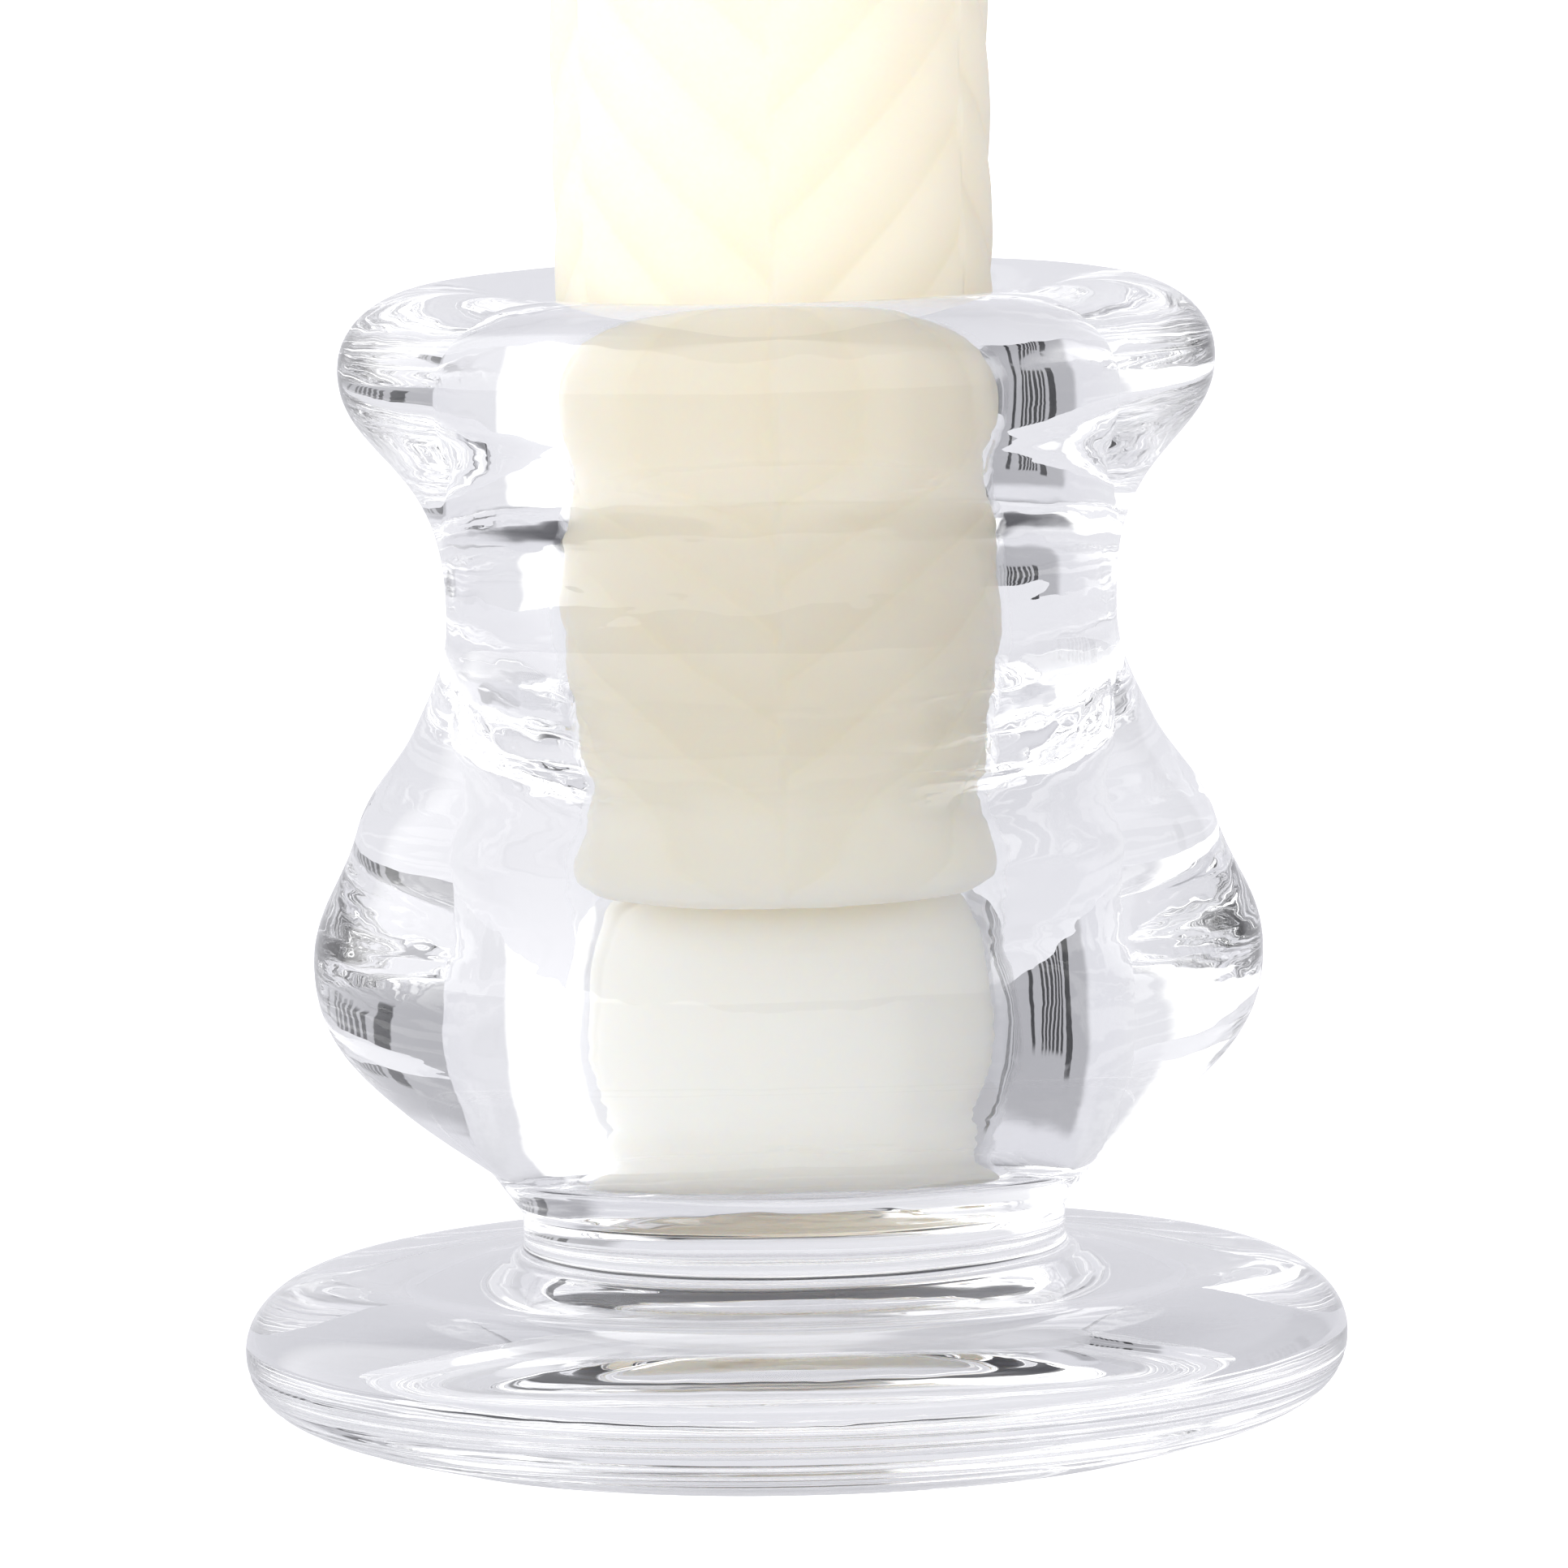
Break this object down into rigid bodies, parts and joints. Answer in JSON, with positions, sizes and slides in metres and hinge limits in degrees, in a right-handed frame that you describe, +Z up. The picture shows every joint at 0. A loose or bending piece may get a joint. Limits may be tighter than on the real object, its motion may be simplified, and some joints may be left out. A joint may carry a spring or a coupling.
{
  "type": "glass candlestick",
  "caption": "Low pressed-glass candlestick: round foot, bulbous stem, flared rim and a straight socket holding a plaited taper candle that lifts out.",
  "frame": {"origin": "centre of the face that the foot stands on, at the lowest point", "axes": "+Z up along the axis of revolution, out of the candle socket; -Y faces the viewer"},
  "size_m": [0.0556, 0.0556, 0.1649],
  "materials": {
    "clear_glass": "clear fire-polished pressed glass, faintly cool, smooth with slight press ripples",
    "ivory_wax": "ivory candle wax, slightly translucent, soft satin sheen, moulded in plaited strands",
    "cotton_wick": "off-white braided cotton, lightly waxed"
  },
  "bodies": {
    "candlestick": {"glass_candlestick": "clear_glass"},
    "candle": {"candle_wax": "ivory_wax", "candle_wick": "cotton_wick"}
  },
  "joints": [
    {"name": "candle_lift", "type": "slide", "parent": "candlestick", "child": "candle", "axis": [0, 0, 1], "range_m": [0, 0.04]}
  ]
}
